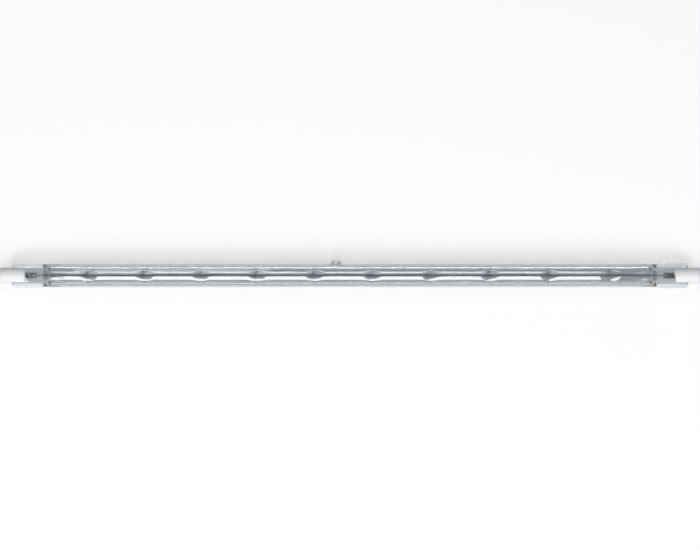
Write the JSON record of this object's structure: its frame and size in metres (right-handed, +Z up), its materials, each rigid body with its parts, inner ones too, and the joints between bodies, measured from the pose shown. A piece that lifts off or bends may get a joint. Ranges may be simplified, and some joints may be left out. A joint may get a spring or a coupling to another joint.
{
  "type": "linear halogen bulb",
  "caption": "Double-ended linear halogen bulb: a clear quartz tube with flat pinched ends, white ceramic caps with recessed contacts and a coiled filament on spiral supports.",
  "frame": {"origin": "on the tube's axis, half way between the outer faces of the two caps", "axes": "+X along the tube towards the right cap, +Y the way the exhaust tip points, +Z up, at right angles to the flat faces of the pinches"},
  "size_m": [0.3308, 0.0134, 0.011],
  "materials": {
    "quartz": "clear polished quartz",
    "tungsten": "dark grey drawn wire",
    "molybdenum": "dark grey foil and wire",
    "ceramic": "unglazed matt white",
    "cement": "rough white",
    "contact_metal": "satin nickel"
  },
  "bodies": {
    "root": {"cap_left": "ceramic", "cap_right": "ceramic", "cement_left": "cement", "cement_right": "cement", "contact_left": "contact_metal", "contact_right": "contact_metal", "filament": "tungsten", "filament_support_01": "tungsten", "filament_support_02": "tungsten", "filament_support_03": "tungsten", "filament_support_04": "tungsten", "filament_support_05": "tungsten", "filament_support_06": "tungsten", "filament_support_07": "tungsten", "filament_support_08": "tungsten", "filament_support_09": "tungsten", "filament_support_10": "tungsten", "foil_left": "molybdenum", "foil_right": "molybdenum", "inner_lead_left": "tungsten", "inner_lead_right": "tungsten", "outer_lead_left": "molybdenum", "outer_lead_right": "molybdenum", "quartz_envelope": "quartz"}
  },
  "joints": []
}
